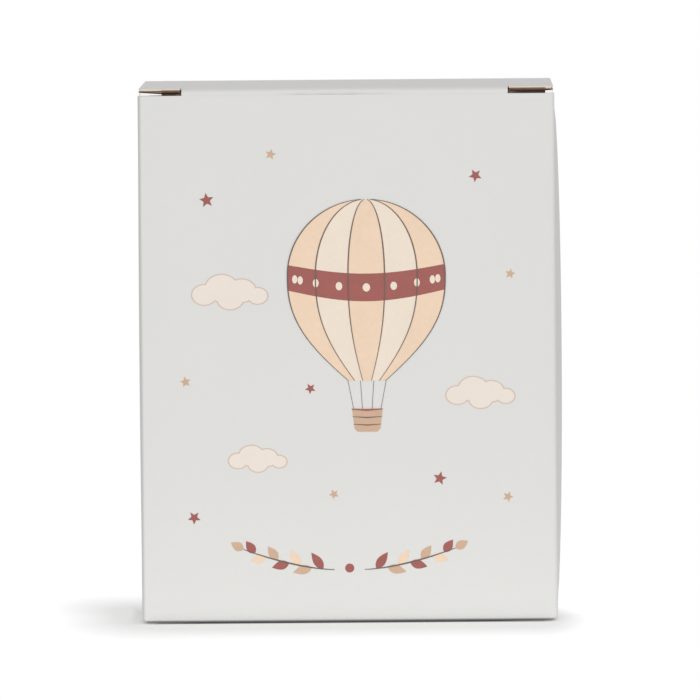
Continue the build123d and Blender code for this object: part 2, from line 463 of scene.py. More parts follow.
def painted_edge_shade():
    """Painted shade: darker paper along the left front crease, and on the bends that stand on the ground."""
    tree, given, result = group("painted_edge_shade", [("Place", "Vector", None)], [("Tone", "Float")])
    place = add(tree, "SeparateXYZ")
    depth = maths(tree, "ABSOLUTE")
    both = maths(tree, "MULTIPLY")
    wire(tree, (given, "Place", place, 0), (place, "Y", depth, 0), (both, 0, result, "Tone"))

    def shade(where, how_much):
        part = maths(tree, "MULTIPLY")
        tone = maths(tree, "SUBTRACT", {0: 1.0})
        tree.links.new(where, part.inputs[0])
        tree.links.new(how_much, part.inputs[1])
        wire(tree, (part, 0, tone, 1))
        return tone.outputs[0]

    # The crease and foot masks paint shade: on the left front crease, and at the foot of the front and back
    # walls where they meet the ground.
    front = ramp(tree, place.outputs["Y"], -INNER_DEPTH, -INNER_DEPTH - 0.0003, 0.0, 1.0)
    crease = ramp(tree, place.outputs["X"], -HALF_WIDTH + 0.0009, -HALF_WIDTH + 0.0004, 0.0, 0.2)
    rim = ramp(tree, depth.outputs[0], INNER_DEPTH - 0.0001, INNER_DEPTH + 0.0001, 0.0, 1.0)
    foot = ramp(tree, place.outputs["Z"], 0.0009, 0.0004, 0.0, 0.75)
    tree.links.new(shade(front, crease), both.inputs[0])
    tree.links.new(shade(rim, foot), both.inputs[1])
    return tree


def with_painted_shade(material, shade_group):
    """Scales a finished paper colour by the painted edge shade."""
    tree = material.node_tree
    surface = tree.nodes["Principled BSDF"]
    place = add(tree, "TexCoord")
    edges = add(tree, "Group", node_tree=shade_group)
    scaled = vectors(tree, "SCALE")
    tree.links.new(surface.inputs["Base Color"].links[0].from_socket, scaled.inputs[0])
    wire(
        tree,
        (place, "Object", edges, "Place"),
        (edges, "Tone", scaled, "Scale"),
        (scaled, 0, surface, "Base Color"),
    )
    return material


def glaze(name, colour):
    """Glossy glaze that pools a little unevenly, dull on the feet, where none was laid."""
    material, tree, surface = shader(name)
    place = add(tree, "TexCoord")
    height = add(tree, "SeparateXYZ")
    pooled = grain_node(tree, colour, 0.05, 160.0, 40.0)
    relief = add(tree, "Bump", {"Strength": 0.15, "Distance": 0.0002})
    wire(
        tree,
        (place, "Object", pooled, "Place"),
        (place, "Object", height, 0),
        (pooled, "Colour", surface, "Base Color"),
        (pooled, "Height", relief, "Height"),
        (relief, "Normal", surface, "Normal"),
    )
    dullness = ramp(tree, height.outputs["Z"], FLOOR_TOP + 0.0006, FLOOR_TOP + 0.0012, 0.75, 0.12)
    tree.links.new(dullness, surface.inputs["Roughness"])
    tune(surface, {"Coat Weight": 0.3, "Coat Roughness": 0.05})
    return material


# The grey print liner also carries the painted edge shade, at its left front crease and along the foot of
# the front and back walls.
printed_with_shade = with_painted_shade(grained("printed_grey_liner_painted_shade", (0.735, 0.735, 0.72), 0.62, 0.018), painted_edge_shade())
cream_edge = grained("raw_cream_edge", (0.70, 0.66, 0.58), 0.9, 0.12, fibre_scale=2500.0)
kraft = grained("plain_kraft_liner", (0.42, 0.29, 0.18), 0.85, 0.12, fibre_scale=1500.0, stretch=4.0)
blush_edge = grained("blush_raw_edge", (0.76, 0.64, 0.57), 0.9, 0.12, fibre_scale=2500.0)
fluting = grained("kraft_fluting", (0.19, 0.115, 0.075), 0.9, 0.4, fibre_scale=1800.0)
# A darker copy of the fluting colour, laid on board edges that sit in shade: painted shade.
fluting_painted_shade = grained("fluting_painted_shade", (0.085, 0.05, 0.032), 0.9, 0.4, fibre_scale=1800.0)
white_liner = grained("plain_white_liner", (0.78, 0.77, 0.74), 0.75, 0.03)
peach_ink = grained("peach_ink", (0.86, 0.66, 0.49), 0.6, 0.10, cloud_scale=160.0)
cream_ink = grained("cream_ink", (0.86, 0.75, 0.63), 0.6, 0.06, cloud_scale=160.0)
wine_ink = grained("wine_ink", (0.36, 0.115, 0.10), 0.6, 0.16, cloud_scale=200.0)
tan_ink = grained("tan_ink", (0.62, 0.42, 0.29), 0.6, 0.12, cloud_scale=200.0)
line_ink = grained("line_ink", (0.16, 0.12, 0.11), 0.6, 0.12)
cloud_ink = grained("cloud_ink", (0.84, 0.76, 0.68), 0.6, 0.04, cloud_scale=120.0)
rim_ink = grained("rim_ink", (0.66, 0.53, 0.44), 0.6, 0.08)
# A white strip for the bright light seen through the gap at the dust flaps' outer ends: painted light.
gap_light_white = grained("painted_gap_light_white", (0.95, 0.95, 0.94), 0.7, 0.01)
pot_glaze = glaze("warm_white_glaze", (0.84, 0.80, 0.74))
CARTON = {"outer": printed_with_shade, "edge": cream_edge, "inner": kraft, "medium": fluting}
INSERT = {"outer": white_liner, "edge": cream_edge, "inner": white_liner, "medium": fluting}


# Carton walls


def wall_skin(name, side, top):
    """Outer liner of the front (-1) or back (1) wall, with its upright bends and its bottom bend."""
    skin = cube(name)
    edit(skin)
    shift((0, 0, 0.5))
    resize((2 * HALF_WIDTH, 2 * HALF_DEPTH, TOP))
    mesh = bmesh.from_edit_mesh(skin.data)
    bpy.ops.mesh.select_mode(type="EDGE")
    for edge in mesh.edges:
        upright = abs(edge.verts[0].co.z - edge.verts[1].co.z) > BOARD
        low = max(edge.verts[0].co.z, edge.verts[1].co.z) < BOARD
        edge.select_set(upright or low)
    bmesh.update_edit_mesh(skin.data)
    bpy.ops.mesh.bevel(offset=BOARD, segments=5, affect="EDGES")
    bpy.ops.mesh.select_mode(type="VERT")
    bisect((0, side * INNER_DEPTH, 0), (0, -side, 0), clear_outer=True)
    bisect((0, 0, top), (0, 0, 1), clear_outer=True)
    for share in WALL_COLUMNS:
        bisect((share * HALF_WIDTH, 0, 0), (1, 0, 0))
    for drop in WALL_ROWS:
        for level in (drop + BOARD, top - drop):
            bisect((0, 0, level), (0, 0, 1))
    leave()
    for vertex in skin.data.vertices:
        out = Vector((abs(vertex.co.x) - HALF_WIDTH + CORNER, CORNER - vertex.co.z))
        if min(out) > 0 and out.length > CORNER:
            out = out.normalized() * CORNER
            vertex.co.x = (HALF_WIDTH - CORNER + out.x) * (1 if vertex.co.x > 0 else -1)
            vertex.co.z = CORNER - out.y
    paint(skin, printed_with_shade, cream_edge, kraft)
    return skin


def wall_board(name, skin, side, top):
    """Backs the outer liner of the front or back wall with the rest of its board."""
    thicken(skin)
    smooth(skin)
    place = plane_frame((0, side * HALF_DEPTH, 0), (-side, 0, 0), (0, 0, 1))
    outline = rectangle((-INNER_WIDTH, INNER_WIDTH), (BOARD, top))
    core = board(f"{name}_core", [outline], place, CARTON, skin=False)
    return join(name, [skin, core])


def front_board():
    skin = wall_skin("front_board", -1, FRONT_TOP)
    for vertex in skin.data.vertices:
        near_top = max(0.0, 1 - (FRONT_TOP - vertex.co.z) / BOW_DEPTH)
        near_middle = max(0.0, 1 - abs(vertex.co.x - BOW_MIDDLE) / BOW_HALF)
        vertex.co.y -= BOW * near_top * near_middle
    piece = wall_board("front_board", skin, -1, FRONT_TOP)
    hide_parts("front_panel")
    return piece


def back_board():
    top = TOP - BOARD - LAP
    piece = wall_board("back_board", wall_skin("back_board", 1, top), 1, top)
    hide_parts("back_panel")
    return piece


def side_frame(side):
    """Carries a strip drawn along X, facing Y, to the outside of the right (1) or left (-1) wall."""
    return Matrix(((0, side, 0, side * HALF_WIDTH), (-side, 0, 0, 0), (0, 0, 1, 0), (0, 0, 0, 1)))


def bulged(y, z, low, high):
    """How far a side wall swells out at a place: flat-topped, and nothing at its creases."""
    level = min(1.0, max(0.0, (z - low) / (high - low)))
    rise = (4 * level * (1 - level)) ** BULGE_FLATNESS
    width = max(0.0, 1 - (y / INNER_DEPTH) ** 2)
    return SIDE_BULGE * rise * width


def side_board(name, side):
    """A side wall with its bottom bend. Side is 1 for the right wall."""
    top = DUST_TOP - BOARD - LAP
    low = FLOOR_TOP
    profile = [(0.0, level) for level in spread(top, low, BULGE_ROWS)]
    profile += arc((-BOARD, low), BOARD, 0.0, -pi / 2, 5)[1:]
    skin = ribbon(name, (-INNER_DEPTH, INNER_DEPTH), BULGE_COLUMNS, profile, (0, 1, 0))
    paint(skin, printed_with_shade, cream_edge, kraft)
    thicken(skin)
    skin.data.transform(side_frame(side))
    place = plane_frame((side * HALF_WIDTH, 0, 0), (0, side, 0), (0, 0, 1))
    outline = rectangle((-INNER_DEPTH, INNER_DEPTH), (low, top))
    core = board(f"{name}_core", [outline], place, CARTON, False, BULGE_ROWS, BULGE_COLUMNS)
    piece = join(name, [skin, core])
    share = 1.0 if side > 0 else LEFT_BULGE_SHARE
    for vertex in piece.data.vertices:
        vertex.co.x += side * share * bulged(vertex.co.y, vertex.co.z, low, top)
    smooth(piece)
    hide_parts("right_panel" if side > 0 else "left_panel")
    return piece


def glue_board():
    low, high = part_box("glue_flap")
    outline = [(-high[0], low[2] + GLUE_TAPER), (-low[0], low[2])]
    outline += [(-low[0], high[2]), (-high[0], high[2] - GLUE_TAPER)]
    place = plane_frame((0, high[1], 0), (-1, 0, 0), (0, 0, 1))
    piece = board("glue_strip", [outline], place, CARTON)
    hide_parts("glue_flap")
    return piece


# Bottom flaps


def bottom_long_board(name, node, turned):
    """Front bottom flap, or the back one when turned half round. Its free edge steps over the middle."""
    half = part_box("bottom_front_flap")[1][0]
    rear, hooked, drawn = -INNER_DEPTH, LOCK_HOOK - LOCK_GAP, -LOCK_HOOK - LOCK_GAP
    long_half = [(-half, rear + BOTTOM_CUT), (BOTTOM_CUT - half, rear), (-LOCK_STEP, rear)]
    long_half += [(-LOCK_STEP, hooked), (BOTTOM_TAPER - half, hooked)]
    sloped = [(-LOCK_STEP, rear), (LOCK_STEP, rear), (LOCK_STEP, drawn), (-LOCK_STEP, hooked)]
    short_half = [(LOCK_STEP, rear), (half - BOTTOM_CUT, rear), (half, rear + BOTTOM_CUT)]
    short_half += [(half - BOTTOM_TAPER, drawn), (LOCK_STEP, drawn)]
    outlines = [[(x, -y) for x, y in reversed(shape)] for shape in (long_half, sloped, short_half)]
    place = plane_frame((0, 0, 0), (1, 0, 0), (0, -1, 0))
    if turned:
        place = Matrix.Rotation(pi, 4, "Z") @ place
    piece = board(name, outlines, place, CARTON)
    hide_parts(node)
    return piece


def bottom_short_board(name, side):
    low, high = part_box("bottom_right_flap")
    half, tip = high[1], high[1] - SHORT_TAPER
    outline = [(-half, INNER_WIDTH), (-tip, low[0]), (tip, low[0]), (half, INNER_WIDTH)]
    place = plane_frame((0, 0, BOARD), (0, side, 0), (side, 0, 0))
    piece = board(name, [outline], place, CARTON)
    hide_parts("bottom_right_flap" if side > 0 else "bottom_left_flap")
    return piece


# Lid and flaps


def lid_board():
    seam = FOLD_Y + LAP
    back = INNER_DEPTH - LAP
    main = rectangle((-LID_HALF_WIDTH, LID_HALF_WIDTH), (seam, back))
    left_tab = rectangle((-LID_HALF_WIDTH, TUCK_LEFT - KERF), (LID_FRONT, seam))
    right_tab = rectangle((TUCK_RIGHT + KERF, RIGHT_TAB_END), (LID_FRONT, seam))
    place = plane_frame((0, 0, TOP), (1, 0, 0), (0, 1, 0))
    piece = board("lid_board", [main, left_tab, right_tab], place, CARTON)
    for vertex in piece.data.vertices:
        past = max(PRESSED_LEFT - vertex.co.x, vertex.co.x - PRESSED_RIGHT)
        pressed = min(1.0, max(0.0, past / PRESS_RUN + 1))
        if vertex.co.y < seam and pressed > 0:
            vertex.co.z = TOP - (TOP - vertex.co.z) * (1 - PRESS_SHARE * pressed)
    piece = join("lid_board", [piece] + tab_edges())
    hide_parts("lid_panel")
    return piece


def tab_edges():
    """Torn front edges of the lid beside its fold, each from one X to another and down from the top. The
    lowest, darkest band of each stack paints the shade in the gap beneath the lid's edge.
    """
    thick, middle, inset = 0.0005, LID_FRONT + 0.0002, 0.0001
    outer, right_end = LID_HALF_WIDTH - inset, RIGHT_TAB_END - inset
    left_slit, right_slit = TUCK_LEFT - KERF - inset, TUCK_RIGHT + KERF + inset
    bands = [
        (-outer, PRESSED_LEFT, 0.00002, 0.00058, cream_edge),
        (-outer, PRESSED_LEFT, 0.00058, 0.00071, fluting_painted_shade),
        (PRESSED_LEFT, left_slit, 0.00002, 0.00042, blush_edge),
        (PRESSED_LEFT, left_slit, 0.00042, 0.00085, fluting),
        (PRESSED_LEFT, left_slit, 0.00085, 0.00119, fluting_painted_shade),
        (right_slit, PRESSED_RIGHT, 0.00002, 0.00040, blush_edge),
        (right_slit, PRESSED_RIGHT, 0.00040, 0.00080, fluting),
        (right_slit, PRESSED_RIGHT, 0.00080, 0.00119, fluting_painted_shade),
        (PRESSED_RIGHT, right_end, 0.00002, 0.00058, blush_edge),
    ]
    edges = []
    for number, (left, right, above, below, material) in enumerate(bands):
        size = (right - left, thick, below - above)
        place = ((left + right) / 2, middle, TOP - (above + below) / 2)
        edge = slab(f"tab_edge_{number}", size, place)
        paint(edge, material)
        edges.append(edge)
    return edges


def slab(name, size, place):
    """A thin block with soft edges."""
    block = cube(name)
    edit(block)
    resize(size)
    bpy.ops.mesh.bevel(offset=min(size) * 0.2, segments=2, affect="EDGES")
    select_all()
    shift(place)
    leave()
    return block


def tuck_board():
    middle, half = (TUCK_LEFT + TUCK_RIGHT) / 2, (TUCK_RIGHT - TUCK_LEFT) / 2
    edge = half - TUCK_TAPER
    corner = arc((edge - TUCK_CORNER, -TUCK_LENGTH + TUCK_CORNER), TUCK_CORNER, -pi / 2, 0, 6)
    right = corner + [(half, -LAP)]
    outline = mirrored_outline(right) + right
    inward, down = sin(TUCK_LEAN), -cos(TUCK_LEAN)
    origin = (middle, FOLD_Y + down * BOARD, TOP - BOARD - inward * BOARD)
    place = plane_frame(origin, (1, 0, 0), (0, -inward, -down))
    piece = board("tuck_board", [outline], place, CARTON)
    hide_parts("tuck_flap")
    return piece


def dust_board(name, side):
    low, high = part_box("right_dust_flap")
    start, end = INNER_WIDTH - LAP, low[0]
    setback = DUST_SETBACK - INNER_DEPTH
    back_start = high[1]
    back_end = back_start - DUST_SLOPE * (INNER_WIDTH - 0.0001 - end)
    inset = end + DUST_CORNER
    front_corner = arc((inset, setback + DUST_CORNER), DUST_CORNER, -pi, -pi / 2, 4)
    back_corner = arc((inset, back_end - DUST_CORNER), DUST_CORNER, pi * 0.65, pi, 4)
    main = front_corner + [(start, setback), (start, back_start)] + back_corner
    ear = rectangle((DUST_SHOULDER, start), (low[1], setback))
    outlines = [[(y, -x) for x, y in shape] for shape in (main, ear)]
    if side < 0:
        outlines = [mirrored_outline(shape) for shape in outlines]
    place = plane_frame((0, 0, DUST_TOP), (0, side, 0), (-side, 0, 0))
    piece = board(name, outlines, place, CARTON)
    piece = join(name, [piece] + dust_edges(side))
    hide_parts("right_dust_flap" if side > 0 else "left_dust_flap")
    return piece


def dust_edges(side):
    """A dust flap's front edge over the front wall: a dark brown strip inside, painted shade of the gap
    beneath the lid, and a white strip outside, painted light that stands for the bright gap near the flap's
    outer corner.
    """
    white = -PRESSED_LEFT if side < 0 else PRESSED_RIGHT
    low = FRONT_TOP + DUST_LIP
    end = HALF_WIDTH - 0.00036
    rest = -HALF_DEPTH + 0.00015
    radius = -INNER_DEPTH - rest
    inside = rectangle((DUST_SHOULDER + 0.0001, white), (rest, -INNER_DEPTH))
    corner = arc((end - radius, -INNER_DEPTH), radius, -pi / 2, 0, 6)
    outside = [(white, -INNER_DEPTH), (white, rest)] + corner
    parts = []
    edges = (("brown_edge", inside, fluting_painted_shade), ("white_edge", outside, gap_light_white))
    for name, outline, material in edges:
        reach = [min(point[0] for point in outline), max(point[0] for point in outline)]
        if side < 0:
            outline, reach = mirrored_outline(outline), [-reach[1], -reach[0]]
        part = ribbon(name, reach, 12, [(rest, low), (-INNER_DEPTH, low)], (0, 0, -1))
        trim(part, outline)
        modify(part, "SOLIDIFY", thickness=DUST_TOP - low, offset=-1)
        paint(part, material)
        parts.append(part)
    rise, fall, lift = (0.0005, 0.0001, 0.00016) if side < 0 else (0.00045, 0.0003, 0.0)
    for vertex in parts[1].data.vertices:
        share = (abs(vertex.co.x) - white) / (end - white)
        if vertex.co.z > (DUST_TOP + low) / 2:
            vertex.co.z += fall + (rise - fall) * share
        else:
            vertex.co.z += lift * (1 - share)
    return parts


# Print on the front, in mm from the middle of the front's bottom edge

INK_STEP = 0.00003  # from one layer of ink to the next


def blot(points, layer, material):
    """A flat patch of ink with a given outline, lying just off the front."""
    patch = disc("blot", len(points))
    for vertex, (x, z) in zip(patch.data.vertices, points):
        vertex.co = (x / 1000, -HALF_DEPTH - INK_STEP * layer, z / 1000)
    if patch.data.polygons[0].normal.y > 0:
        turn_over(patch)
    paint(patch, material)
    return patch


def stroke(path, width, layer, material):
    """An ink line along a path, thinner at both ends."""
    left, right = [], []
    for number, point in enumerate(path):
        before = Vector(path[max(0, number - 1)])
        after = Vector(path[min(len(path) - 1, number + 1)])
        along = (after - before).normalized()
        share = number / (len(path) - 1)
        half = width / 2 * (0.45 + 0.55 * sin(pi * share))
        left.append((point[0] - along.y * half, point[1] + along.x * half))
        right.append((point[0] + along.y * half, point[1] - along.x * half))
    return blot(left + right[::-1], layer, material)


def placed(points, x, z, turn=0.0):
    """Turns a drawn outline about its own middle and moves it."""
    return [(x + u * cos(turn) - v * sin(turn), z + u * sin(turn) + v * cos(turn)) for u, v in points]


def oval(x, z, across, high, count=40):
    angles = [2 * pi * step / count for step in range(count)]
    return placed([(across * cos(angle), high * sin(angle)) for angle in angles], x, z)


def star(x, z, reach, turn):
    points = []
    for step in range(10):
        angle = turn + pi / 2 + pi * step / 5
        radius = reach * (1.0 if step % 2 == 0 else 0.45)
        points.append((x + radius * cos(angle), z + radius * sin(angle)))
    return points


def leaf(x, z, length, width, turn):
    """A pointed leaf that grows from a point."""
    sides = [(step / 12, sin(pi * (step / 12) ** 0.8)) for step in range(13)]
    upper = [(length * along, width / 2 * rise) for along, rise in sides]
    lower = [(length * along, -width / 2 * rise) for along, rise in sides[-2:0:-1]]
    return placed(upper + lower, x, z, turn)


def envelope_half(share):
    """Half width of the balloon from its crown (0) to its mouth (1), in parts of its widest."""
    if share < 0.42:
        return (1 - (1 - share / 0.42) ** 2) ** 0.5
    return 0.24 + 0.76 * cos(pi / 2 * ((share - 0.42) / 0.58) ** 1.25)


def balloon(x, crown, half, height, inks):
    levels = [(step / 48) ** 1.7 for step in range(49)]

    def side(lean, inset=0.0):
        reaches = [half * envelope_half(level) - inset for level in levels]
        return [(x + lean * reach, crown - height * level) for reach, level in zip(reaches, levels)]

    pieces = []
    bounds = (-1.0, -0.64, -0.23, 0.23, 0.64, 1.0)
    for number, (here, there) in enumerate(zip(bounds, bounds[1:])):
        pieces.append(blot(side(here) + side(there)[:0:-1], 2, inks[number % 2]))
    for lean in bounds:
        inset = 0.15 if abs(lean) == 1.0 else 0.0
        pieces.append(stroke(side(lean, inset)[1:], 0.34, 5, line_ink))
    swags = []
    for level, sag in ((0.36, 2.4), (0.5, 3.0)):
        reach = half * envelope_half(level)
        top = crown - height * level
        spots = [step / 20 - 1 for step in range(41)]
        swags.append([(x + reach * spot, top - sag * cos(spot * pi / 2)) for spot in spots])
    pieces.append(blot(swags[0] + swags[1][::-1], 3, wine_ink))
    for step in range(9):
        spot = 0.9 * sin(pi / 2 * (step / 4 - 1))
        place = x + half * spot, crown - height * 0.43 - 2.7 * cos(spot * pi / 2)
        pieces.append(blot(oval(*place, 1.0 - 0.35 * abs(spot), 1.1, 20), 4, cream_ink))
    mouth = crown - height
    rim = half * 0.24
    basket = mouth - 7.5
    for lean in (-1.0, -0.35, 0.35, 1.0):
        pieces.append(stroke([(x + lean * rim, mouth), (x + lean * 3.6, basket)], 0.3, 3, line_ink))
    body = [(x - 4.0, basket), (x + 4.0, basket), (x + 3.4, basket - 5.2), (x + 2.6, basket - 6)]
    body += [(x - 2.6, basket - 6), (x - 3.4, basket - 5.2)]
    pieces.append(blot(body, 3, tan_ink))
    for drop in (0.0, 2.0, 4.0):
        ends = 4.1 - drop * 0.11
        weave = [(x - ends, basket - drop), (x, basket - drop - 0.25), (x + ends, basket - drop)]
        width, ink = (0.3, line_ink) if drop else (0.55, wine_ink)
        pieces.append(stroke(weave, width, 5, ink))
    return pieces


def cloud(x, z, size):
    pieces = []
    puffs = ((-0.62, 0.0, 0.32), (-0.2, 0.2, 0.42), (0.28, 0.12, 0.36), (0.66, -0.04, 0.26))
    puffs += ((0.0, -0.12, 0.34),)
    for inset, layer, material in ((0.0, 1.0, rim_ink), (0.32, 2.0, cloud_ink)):
        for number, (u, v, reach) in enumerate(puffs):
            radius = reach * size - inset
            shape = oval(x + u * size, z + v * size * 0.8, radius, radius * 0.82)
            pieces.append(blot(shape, layer + 0.15 * number, material))
    return pieces


def sprig(side, x, z):
    """A leafy twig that rises outwards from the middle."""
    path = [(side * (x + 24 * step / 16), z + 5.5 * (step / 16) ** 1.6) for step in range(17)]
    pieces = [stroke(path, 0.42, 2, line_ink)]
    for number in range(1, 9):
        root = path[2 * number]
        lean = (0.75 if number % 2 else -0.45) if number < 8 else 0.3
        turn = lean + 0.2 if side > 0 else pi - lean - 0.2
        shape = leaf(*root, 5.6 - 0.22 * number, 2.4, turn)
        pieces.append(blot(shape, 1 + 0.1 * number, (peach_ink, wine_ink, tan_ink)[number % 3]))
    return pieces


def print_on_front():
    places = ((-37, 112, 2.0, 0), (-20, 124, 1.5, 1), (34, 118, 1.8, 0), (43, 92, 1.4, 1), (-43, 64, 1.5, 1))
    places += ((24, 38, 1.9, 0), (-4, 34, 1.4, 1), (42, 33, 1.5, 1), (-41, 28, 1.8, 0), (-10, 62, 1.5, 0))
    inks = (wine_ink, tan_ink)
    dot = blot(oval(0, 14.4, 1.2, 1.2), 1, wine_ink)
    drawn = {
        "print_balloon": balloon(5.0, 112.0, 21.0, 48.0, (peach_ink, cream_ink)),
        "print_clouds": cloud(-31.0, 87.0, 11.0) + cloud(35.0, 60.0, 10.0) + cloud(-24.0, 43.0, 8.5),
        "print_sprigs": sprig(1, 4.0, 14.0) + sprig(-1, 4.0, 14.0) + [dot],
        "print_stars": [blot(star(x, z, reach, 0.2 * x), 1, inks[tone]) for x, z, reach, tone in places],
    }
    for name, pieces in drawn.items():
        piece = join(name, pieces)
        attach(piece, "carton")


# Insert


def insert_platform():
    outline = rectangle((-INSERT_WIDTH + LAP, INSERT_WIDTH - LAP), (-INSERT_DEPTH, INSERT_DEPTH))
    place = plane_frame((0, 0, PLATFORM), (1, 0, 0), (0, 1, 0))
    piece = board("insert_platform_board", [outline], place, INSERT)
    bpy.ops.mesh.primitive_cylinder_add(vertices=128, radius=1, depth=0.02, location=(0, 0, PLATFORM))
    hole = named("insert_hole")
    edit(hole)
    resize((*HOLE_HALF, 1))
    leave()
    combine(piece, hole, "DIFFERENCE")
    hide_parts("insert_platform")
    return piece


def insert_leg(name, side):
    outer = INSERT_WIDTH + BOARD
    outline = rectangle((-INSERT_DEPTH, INSERT_DEPTH), (FLOOR_TOP, PLATFORM - BOARD - LAP))
    place = plane_frame((side * outer, 0, 0), (0, side, 0), (0, 0, 1))
    leg = board(f"{name}_plate", [outline], place, INSERT)
    bend = arc((-BOARD, PLATFORM - BOARD), BOARD, 0.0, pi / 2, 10)
    profile = [(0.0, bend[0][1] - LAP)] + bend + [(bend[-1][0] - LAP, PLATFORM)]
    fold = ribbon(f"{name}_fold", (-INSERT_DEPTH, INSERT_DEPTH), 1, profile, (0, 1, 0))
    paint(fold, white_liner, fluting, white_liner)
    thicken(fold, BEND_BOARD)
    fold.data.transform(side_frame(side))
    fold.data.transform(Matrix.Translation((side * (outer - HALF_WIDTH), 0, 0)))
    smooth(fold, 50.0)
    piece = join(name, [leg, fold])
    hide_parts("insert_right_leg" if side > 0 else "insert_left_leg")
    return piece


# Keepsake pot


def through(keys, height):
    """Value at a height of the smooth curve through two or three (height, value) pairs."""
    total = 0.0
    for here, value in keys:
        share = value
        for there, _ in keys:
            if there != here:
                share *= (height - there) / (here - there)
        total += share
    return total


def lofted(name, rings, segments=64):
    """A closed solid through level ellipses, each given as height, middle X, and half sizes, in mm."""
    solid = disc(name, segments)
    edit(solid)
    height, middle, across, deep = rings[0]
    resize((across, deep, 1))
    shift((middle, 0, height))
    for here, there in zip(rings, rings[1:]):
        extrude((there[1] - here[1], 0, there[0] - here[0]))
        resize((there[2] / here[2], there[3] / here[3], 1), (there[1], 0, there[0]))
    select_all()
    resize((0.001, 0.001, 0.001))
    shift((0, 0, POT_FLOOR))
    face_out()
    leave()
    return solid


def swept_rings(levels, keys):
    """Rings at many levels, from a few heights that each have a middle X and two half sizes."""
    columns = [[(height, values[number]) for height, values in keys] for number in range(3)]
    return [(level, *[through(column, level) for column in columns]) for level in levels]


def soften(piece, voxel, rounds):
    """Melts joined solids into one smooth skin."""
    modify(piece, "REMESH", mode="VOXEL", voxel_size=voxel, use_smooth_shade=True)
    modify(piece, "SMOOTH", factor=0.5, iterations=rounds)


def level_cut(piece, height, above):
    """Cuts a solid flat at a height above the pot's feet, in mm."""
    edit(piece)
    normal = (0, 0, 1 if above else -1)
    bisect((0, 0, POT_FLOOR + height / 1000), normal, use_fill=True, clear_outer=True)
    face_out()
    leave()


def pot_base():
    crown_keys = [(32, (0, 23.5, 16)), (46, (0, 37, 23.5)), (74, (0, 43, 27))]
    piece = lofted("pot_base", swept_rings(spread(32, 75.5, 20), crown_keys))
    for side in (-1, 1):
        root_keys = [(0, (side * 21, 8.5, 10)), (20, (side * 19, 12.5, 14)), (40, (side * 15, 16.5, 18))]
        root = lofted("pot_root", swept_rings(spread(-1.5, 42, 20), root_keys))
        combine(piece, root, "UNION")
    soften(piece, voxel=0.0009, rounds=8)
    level_cut(piece, 74, True)
    level_cut(piece, 0, False)
    seat = [(71.8, 0, 40.7, 24.7), (79.4, 0, 40.7, 24.7), (80, 0, 40.1, 24.1)]
    combine(piece, lofted("pot_seat", seat, 128), "UNION")
    hollow_keys = [(44, (0, 28, 14.5)), (59, (0, 34.75, 21.25)), (74, (0, 38.5, 22.5))]
    hollow = [(44, 0, 26, 12.5)] + swept_rings(spread(44.6, 74, 14), hollow_keys)
    hollow += [(79.4, 0, 38.5, 22.5), (80.4, 0, 39.5, 23.5)]
    combine(piece, lofted("pot_hollow", hollow, 128), "DIFFERENCE")
    paint(piece, pot_glaze)
    smooth(piece, 40.0)
    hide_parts("keepsake_base")
    return piece


def pot_cap():
    keys = [(74, (0, 43, 27)), (86, (0, 42, 26)), (95, (0, 37.5, 21.5)), (101, (0, 29, 13))]
    piece = lofted("pot_cap", swept_rings(spread(72.5, 101, 24), keys))
    for x in (-0.02, 0.02):
        for y in (-0.009, 0.009):
            place = (x, y, POT_FLOOR + 0.093)
            bpy.ops.mesh.primitive_uv_sphere_add(segments=48, ring_count=24, radius=0.014, location=place)
            cusp = named("pot_cusp")
            bpy.ops.object.transform_apply(location=True, rotation=True, scale=True)
            combine(piece, cusp, "UNION")
    soften(piece, voxel=0.0012, rounds=60)
    level_cut(piece, 74, False)
    socket = [(73, 0, 41.05, 25.05), (80.35, 0, 41.05, 25.05)]
    combine(piece, lofted("cap_socket", socket, 128), "DIFFERENCE")
    hollow = [(79, 0, 38.5, 22.5), (80.35, 0, 38.5, 22.5), (83, 0, 37, 21), (86, 0, 34, 18)]
    hollow += [(91, 0, 32, 15.5), (95, 0, 28.5, 12.5)]
    combine(piece, lofted("cap_hollow", hollow, 128), "DIFFERENCE")
    paint(piece, pot_glaze)
    smooth(piece, 40.0)
    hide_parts("keepsake_cap")
    return piece


# Folds of the carton


def crease(name, ends, centre, place):
    """A quarter bend of the board, over the top of a wall, with a lap on each side."""
    bend = arc(centre, BOARD, 0.0, pi / 2, 10)
    lead = (bend[0][0], bend[0][1] - LAP)
    tail = (bend[-1][0] - LAP, bend[-1][1])
    strip = ribbon(name, ends, 1, [lead] + bend + [tail], (0, 1, 0))
    paint(strip, printed_with_shade, fluting, kraft)
    thicken(strip, BEND_BOARD)
    smooth(strip, 50.0)
    strip.data.transform(place)
    return strip


def lid_crease():
    centre = (INNER_DEPTH, TOP - BOARD)
    piece = crease("lid_crease", (-LID_HALF_WIDTH, LID_HALF_WIDTH), centre, Matrix.Identity(4))
    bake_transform(piece)


def lid_hinge_liner(name, body):
    """The brown liner that is left on one side of the lid's crease when the lid lies right back."""
    gap, reach = 0.00002, 0.6 * BOARD
    corner = (INNER_DEPTH - gap, TOP - BOARD - gap)
    ridge = (INNER_DEPTH + reach, TOP - BOARD + reach)
    flat = (corner[0] - LAP, corner[1]) if body == "lid" else (corner[0], corner[1] - LAP)
    strip = ribbon(name, (-LID_HALF_WIDTH, LID_HALF_WIDTH), 1, [flat, corner, ridge], (0, -1, -1))
    paint(strip, kraft)
    modify(strip, "SOLIDIFY", thickness=INNER_LINER / 2, offset=-1)
    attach(strip, body)


def dust_crease(name, side):
    low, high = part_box("right_dust_flap")
    ends = (low[1], high[1]) if side < 0 else (-high[1], -low[1])
    piece = crease(name, ends, (-BOARD, DUST_TOP - BOARD), side_frame(side))
    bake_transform(piece)


